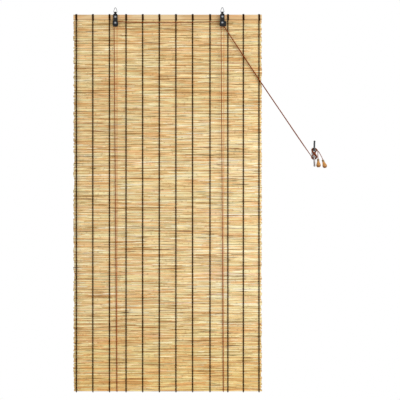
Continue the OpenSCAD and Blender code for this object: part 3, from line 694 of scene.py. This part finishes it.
class BLIND_OT_reeds(bpy.types.Operator):
    """Make the reeds of the mat, each with its own thickness, sway, joints and tone"""
    bl_idname = "blind.reeds"
    bl_label = "Reeds"

    def execute(self, context):
        settings = context.scene.blind_reed
        lo, hi = (np.array(c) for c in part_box("reed_mat"))
        points, run, marks = self.stems(lo, hi, settings)
        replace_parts(piece("reeds", [(points, run)], reed_finish(), marks), "reed_mat")
        return {"FINISHED"}

    def stems(self, lo, hi, settings):
        """Surfaces of all reeds at once: (x, y + r cos a, z + r sin a) for station s and angle a.

        A stem's line sways by slow sines of its own and of its bundle, its radius narrows along it and
        swells at its joints, and each end turns in to a hollow.
        """
        rng = np.random.default_rng(11)
        n, sides, stations = settings.count, 8, 24
        i = np.arange(n)

        # Heights from the stacked diameters, and the two ragged ends
        y = (lo[1] + hi[1]) / 2 + rng.normal(0, 0.00018, n)
        radius = settings.diameter / 2 * (1 + settings.spread * np.clip(rng.normal(0, 1, n), -1.6, 1.6))
        stack = np.concatenate(((0.0,), np.cumsum(radius[:-1] + radius[1:])))
        high, low = hi[2] - HEAD_GAP, lo[2] + REED_HALF
        z = high - stack / stack[-1] * (high - low) + np.where(i % 2 == 0, -1, 1) * settings.closing
        left = lo[0] + rng.uniform(-0.3, 1.0, n) * settings.ragged
        right = hi[0] - rng.uniform(-0.3, 1.0, n) * settings.ragged

        # Stations along a stem, closer together at its joints
        base = np.tile(np.linspace(0, 1, stations), (n, 1))
        joints = (np.arange(JOINTS) + rng.uniform(0.15, 0.85, (n, 1))) / JOINTS
        joints = np.clip(joints + rng.normal(0, 0.03, (n, JOINTS)), 0.03, 0.97)
        near = (joints[:, :, None] + JOINT_REACH * np.array((-1, 0, 1))).reshape(n, -1)
        s = np.sort(np.concatenate((base, near), axis=1), axis=1)
        x = left[:, None] + s * (right - left)[:, None]
        swell = np.exp(-((s[:, :, None] - joints[:, None, :]) / JOINT_WIDTH) ** 2).sum(axis=2)

        # Sway of each stem and of each bundle
        wide, slow = rng.uniform(0, 2 * np.pi, (2, n, 1)), rng.uniform(0, 2 * np.pi, (2, n, 1))
        pace = rng.uniform(1.0, 2.2, (n, 1))
        sway = np.sin(2 * np.pi * pace * s + wide[0]) + 0.5 * np.sin(4.4 * np.pi * pace * s + slow[0])
        lean = np.sin(2 * np.pi * pace * s + wide[1]) * 0.6
        pair = rng.normal(0, 1, (n // 2, 2)).repeat(2, axis=0)
        sway = sway * 0.5 + pair[:, :1] * np.sin(2 * np.pi * s + pair[:, 1:] * 3) * 0.35
        narrow = 1 + rng.uniform(-0.05, 0.05, (n, 1)) * (s - 0.5) * 2
        r = radius[:, None] * narrow * (1 + JOINT_SWELL * swell)
        y, z = y[:, None] + settings.sway * lean, z[:, None] + settings.sway * sway

        # Two more rings at each end: a flat rim, then the bottom of the hollow
        x, y, z, r = (np.pad(v, ((0, 0), (2, 2)), mode="edge") for v in (x, y, z, r))
        x[:, 0] += HOLLOW_DEPTH
        x[:, -1] -= HOLLOW_DEPTH
        r[:, (0, -1)] *= HOLLOW_SHARE
        r[:, (1, -2)] *= RIM_SHARE

        a = 2 * np.pi * (np.arange(sides) + 0.5 * (i % 2)[:, None]) / sides
        points = np.stack(np.broadcast_arrays(
            x[:, :, None], y[:, :, None] + r[:, :, None] * np.cos(a)[:, None, :],
            z[:, :, None] + r[:, :, None] * np.sin(a)[:, None, :]), axis=-1)
        full = points.shape[:3]
        joint = np.pad(swell, ((0, 0), (2, 2)))
        # The hollow mark is the share of painted shade at a cut end: most at the bottom of the hollow, a
        # little on its flat rim
        hollow = np.zeros(full[:2])
        hollow[:, (0, -1)] = 0.8
        hollow[:, (1, -2)] = 0.25
        tone = np.clip(0.5 + 0.17 * rng.normal(0, 1, n) + 0.11 * pair[:, 0], 0, 1)
        marks = {k: np.broadcast_to(v, full) for k, v in (
            ("tone", tone[:, None, None]), ("own", rng.uniform(0, 1, n)[:, None, None]),
            ("joint", joint[:, :, None]), ("hollow", hollow[:, :, None]),
            ("rim", np.sin(a)[:, None, :]))}
        return points, x, marks


def twine_finish(settings):
    """Dark twisted twine: the relief is a sine that winds along and round each ply, and a darker copy of
    the twine's colour in its low parts is painted shade between the yarns.
    """
    made = Finish("dark_twine")
    along, around, _ = made.axes(made.node("UVMap", {"uv_map": "lay"}))
    lay = (along * (2 * math.pi / YARN_PITCH) + around * (2 * math.pi)).sine() * 0.5 + 0.5
    fuzz = made.noise((900, 900, 900), 2.0, 4.0)
    # Painted shade: the low parts of the lay take a darker copy of the twine's colour, mixed with random
    # fuzz
    base = made.mix(lay * 0.6 + fuzz * 0.4, tuple(c * 0.45 for c in settings.twine), tuple(settings.twine))
    patch = made.noise((25, 25, 60), 2.0, 6.0)
    colour = made.mix(patch.clamp(0.5, 0.8) * 0.3, base, linear(84, 52, 22))
    made.set(Base_Color=colour, Roughness=0.85, Specular_IOR_Level=0.0)
    return made.set(Normal=made.bump(lay + fuzz * 0.5, 0.0002, 0.8))


class BLIND_OT_weave_cords(bpy.types.Operator):
    """Make the twine that binds the reeds: windings, twisted strands and a knot for each line"""
    bl_idname = "blind.weave_cords"
    bl_label = "Weave cords"

    def execute(self, context):
        settings = context.scene.blind_reed
        finish = twine_finish(settings)
        mat = [np.array(c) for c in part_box("reed_mat")]
        batten = [np.array(c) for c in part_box("head_batten")]
        rng = np.random.default_rng(5)
        for number, name in enumerate(WEAVE_NODES, 1):
            lo, hi = (np.array(c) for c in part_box(name))
            x = (lo[0] + hi[0]) / 2
            tubes = [*self.strands(x, mat, batten, settings, rng.uniform(0, 6.28)), self.winding(x, batten),
                     self.knot(x, (mat[0][1] + mat[1][1]) / 2, lo[2] + KNOT_RISE)]
            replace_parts(piece(f"twine_{number}", tubes, finish), name)
        return {"FINISHED"}

    def strands(self, x, mat, batten, settings, turn):
        """Two plies twisted round a line that runs down the front, under the lowest reed and up the back.

        The line's distance from the mat's middle is least between two bundles, where it pinches in.
        A ply's centre is line + e cos(q) across + f sin(q) outward, with the angle q growing along it.
        """
        r, e, f = settings.ply, TWIST_ACROSS, TWIST_OUT
        bundles = settings.count // 2
        top, low = batten[0][2] - TWINE_TOP_GAP, mat[0][2] + REED_HALF
        z = np.linspace(top, low, bundles * TWINE_STATIONS)
        pitch = (mat[1][2] - mat[0][2]) / bundles
        pinch = (0.5 + 0.5 * np.cos(2 * np.pi * (z - mat[1][2]) / pitch)) ** 4
        out = REED_HALF + f + r - TWINE_SINK - TWINE_PINCH * pinch
        under = np.linspace(0, np.pi, 11)[1:-1]
        middle = (mat[0][1] + mat[1][1]) / 2
        y = np.concatenate((middle - out, middle - out[-1] * np.cos(under), middle + out[::-1]))
        z = np.concatenate((z, low - out[-1] * np.sin(under), z[::-1]))
        path = np.stack((np.full_like(y, x), y, z), axis=1)
        along = unit(np.gradient(path, axis=0))
        outward = np.stack((np.zeros(len(path)), along[:, 2], -along[:, 1]), axis=1)
        run = run_along(path)[:, None]
        across = np.broadcast_to((1.0, 0.0, 0.0), path.shape)
        for k in (0, 1):
            q = 2 * np.pi * run / TWIST_PITCH + turn + np.pi * k
            yield ringed(path + e * np.cos(q) * across + f * np.sin(q) * outward, r, across, outward, 6)

    def winding(self, x, batten):
        """Turns round the batten: a rounded box of the form |y/a|^5 + |z/b|^5 = 1, stepped across.

        They start and end under the batten.
        """
        r, turns, stations = WINDING_R, WINDING_TURNS, 40
        middle, half = (batten[0] + batten[1]) / 2, (batten[1] - batten[0]) / 2
        q = np.linspace(0, 2 * np.pi * turns, stations * turns + 1)
        c, s = np.sin(q), -np.cos(q)
        a, b = half[1] + r + WINDING_GAP, half[2] + r + WINDING_GAP
        y, z = a * np.sign(c) * np.abs(c) ** 0.4, b * np.sign(s) * np.abs(s) ** 0.4
        step = WINDING_STEP * (q / (2 * np.pi) - turns / 2)
        path = np.stack((x + step, middle[1] + y, middle[2] + z), axis=1)
        outward = unit(np.stack((np.zeros_like(q), np.sign(y) * np.abs(y / a) ** 4 / a,
                                 np.sign(z) * np.abs(z / b) ** 4 / b), axis=1))
        across = np.broadcast_to((1.0, 0.0, 0.0), path.shape)
        return ringed(path, r, across, outward, 8)

    def knot(self, x, y, z):
        """A trefoil knot, (sin t + 2 sin 2t, -sin 3t, cos t - 2 cos 2t), drawn tight."""
        t = np.linspace(0, 2 * np.pi, 61)
        path = np.stack((np.sin(t) + 2 * np.sin(2 * t), -np.sin(3 * t), np.cos(t) - 2 * np.cos(2 * t)), 1)
        return tube_along(np.array((x, y, z)) + KNOT_SIZE * path, KNOT_R, 8)


def batten_finish(settings):
    """Planed wood: long grain lines along X from noise stretched along the batten, and painted shade that
    darkens its lowest few millimetres towards the bottom edge.
    """
    made = Finish("planed_wood")
    colour = tuple(settings.batten)
    grain = made.noise((3.0, 160.0, 260.0), 4.0, 2.2)
    broad = made.noise((7.0, 30.0, 60.0), 2.0, 9.1)
    base = made.mix(grain.clamp(0.4, 0.68) * 0.8, colour, tuple(c * 0.7 for c in colour))
    tone = made.mix(broad.clamp(0.42, 0.62) * 0.6, base, linear(234, 208, 162))
    patch = made.noise((9.0, 30.0, 90.0), 2.0, 17.3)
    tone = made.mix(patch.clamp(0.5, 0.64) * 0.55, tone, linear(220, 166, 112))
    vein = made.noise((7.0, 200.0, 420.0), 2.0, 26.0)
    tone = made.mix(vein.clamp(0.6, 0.7) * 0.6, tone, linear(166, 116, 64))
    _, _, z = made.axes(made.place())
    foot = float(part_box("head_batten")[0][2])
    # Painted shade: the batten darkens over its lowest 3.6 mm towards its bottom edge
    tone = made.mix((foot - z).clamp(-0.0036, -0.0006) * 0.22, tone, linear(150, 104, 58))
    made.set(Base_Color=tone, Roughness=0.45 + grain * 0.2, Specular_IOR_Level=0.3)
    return made.set(Normal=made.bump(grain, 0.0002, 0.35))


def pull_finish(name, top, settings):
    """Varnished turned wood: grain along the axis, a darker, greener neck, and a dark foot that is painted
    shade.
    """
    made = Finish(name)
    colour = tuple(settings.pull)
    grain = made.noise((520.0, 520.0, 60.0), 3.0, 7.3)
    _, _, z = made.axes(made.place())
    base = made.mix(grain.clamp(0.4, 0.7) * 0.7, colour, tuple(c * 0.62 for c in colour))
    neck = (z - top).clamp(-0.0095, -0.0055)
    tone = made.mix(neck * 0.8, base, linear(104, 88, 50))
    # Painted shade: the pull darkens towards its bottom
    foot = (top - z).clamp(0.0175, 0.0235)
    tone = made.mix(foot * 0.85, tone, linear(118, 72, 26))
    made.set(Base_Color=tone, Roughness=0.36 + grain * 0.12, Coat_Weight=0.25, Coat_Roughness=0.12)
    return made.set(Specular_IOR_Level=0.3, Normal=made.bump(grain, 0.00015, 0.25))


def metal_finish(name, colour, rough, metallic, wear, lower_reflection=None, middle=0.0, gloss=0.3):
    """Metal or paint: noise shifts colour and roughness, and a lower colour may fade in round a height,
    which on the cleat paints a pale reflection below a dark one.
    """
    made = Finish(name)
    fine = made.noise((700.0, 700.0, 700.0), 3.0, 1.7)
    broad = made.noise((120.0, 120.0, 120.0), 2.0, 5.1)
    tone = colour
    if lower_reflection:
        _, _, z = made.axes(made.place())
        tone = made.mix((middle - z).clamp(*CLEAT_REFLECTION_FADE), colour, lower_reflection)
    rubbed = tuple(min(1.0, c * 1.5 + 0.015) for c in colour)
    tone = made.mix(broad.clamp(0.35, 0.75) * wear, tone, rubbed)
    made.set(Base_Color=tone, Roughness=rough + fine * 0.14, Metallic=metallic)
    return made.set(Specular_IOR_Level=gloss, Normal=made.bump(fine, 0.00006, 0.3))


class BLIND_OT_finishes(bpy.types.Operator):
    """Give the batten, the hangers, the cleat and the pulls their wood, paint and metal"""
    bl_idname = "blind.finishes"
    bl_label = "Finishes"

    def execute(self, context):
        settings = context.scene.blind_finish
        steel = metal_finish("plated_steel", linear(*STEEL), 0.18, 1.0, 0.3)
        zinc = metal_finish("plain_zinc", linear(*ZINC), 0.34, 1.0, 0.3)
        paint = metal_finish("black_paint", tuple(settings.strap), 0.3, 0.0, 0.3, gloss=0.18)
        # The cleat's dark upper colour and pale lower colour are painted reflections
        cleat = metal_finish("cleat_grey", tuple(settings.cleat), 0.24, 1.0, 0.2, linear(*CLEAT_LOWER_REFLECTION),
                             float(CLEAT[2]) * MM)
        wood = batten_finish(settings)
        coats = {
            "head_batten": wood, "cleat": cleat, "lock_cam": zinc, "lock_pin": paint,
            "right_rear_sheave": zinc, "right_front_sheave": zinc, "left_sheave": zinc,
        }
        for side in ("left", "right"):
            coats.update({f"{side}_strap": paint, f"{side}_ring": steel, f"{side}_axle": steel,
                          f"{side}_screw": steel, f"{side}_spacer": zinc, f"{side}_staple": zinc})
            top = float(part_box(f"{side}_pull")[1][2])
            coats[f"{side}_pull"] = pull_finish(f"{side}_pull_wood", top, settings)
        for node, finish in coats.items():
            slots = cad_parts[node].data.materials
            slots.clear()
            slots.append(finish.material)
        return {"FINISHED"}


STEPS = ("stage", "cords", "reeds", "weave_cords", "finishes")


class BLIND_PT_panel(bpy.types.Panel):
    """Sizes, colours and steps of the blind"""
    bl_idname = "BLIND_PT_panel"
    bl_label = "Reed blind"
    bl_space_type = "VIEW_3D"
    bl_region_type = "UI"
    bl_category = "Blind"

    def draw(self, context):
        for name, kind in GROUPS.items():
            box = self.layout.box()
            for key in kind.__annotations__:
                box.prop(getattr(context.scene, name), key)
        for step in STEPS:
            self.layout.operator(f"blind.{step}")


GROUPS = {"blind_reed": ReedSettings, "blind_cord": CordSettings, "blind_finish": FinishSettings,
          "blind_stage": StageSettings}
CLASSES = (*GROUPS.values(), BLIND_OT_stage, BLIND_OT_cords, BLIND_OT_reeds,
           BLIND_OT_weave_cords, BLIND_OT_finishes, BLIND_PT_panel)


def register():
    for cls in CLASSES:
        bpy.utils.register_class(cls)
    for name, group in GROUPS.items():
        setattr(bpy.types.Scene, name, PointerProperty(type=group))


def unregister():
    for name in GROUPS:
        delattr(bpy.types.Scene, name)
    for cls in reversed(CLASSES):
        bpy.utils.unregister_class(cls)


def main():
    register()
    for step in STEPS:
        getattr(bpy.ops.blind, step)()


if __name__ == "__main__":
    main()
